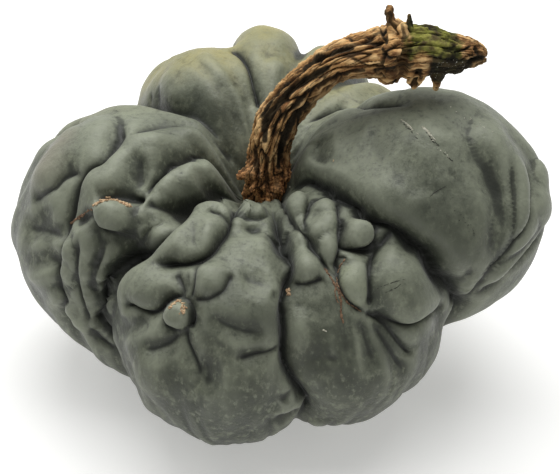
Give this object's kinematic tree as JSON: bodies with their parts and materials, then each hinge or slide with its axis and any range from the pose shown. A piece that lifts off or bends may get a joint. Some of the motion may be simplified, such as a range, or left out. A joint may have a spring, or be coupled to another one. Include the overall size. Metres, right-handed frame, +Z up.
{
  "type": "pumpkin",
  "caption": "Deeply lobed, knobbly grey-green pumpkin with a dry, ridged stem that arches over one lobe and ends in torn stubs.",
  "frame": {"origin": "middle of the flat rest spot under the fruit, straight below the foot of the stem", "axes": "+Z up, out of the ground; +X towards the raised lobe that the stem arches over; -Y towards the two front lobes"},
  "size_m": [0.2953, 0.2588, 0.2306],
  "materials": {
    "skin": "matte, waxy",
    "dry_stem": "rough, corky"
  },
  "bodies": {
    "root": {"fruit": "skin", "stem": "dry_stem"}
  },
  "joints": []
}
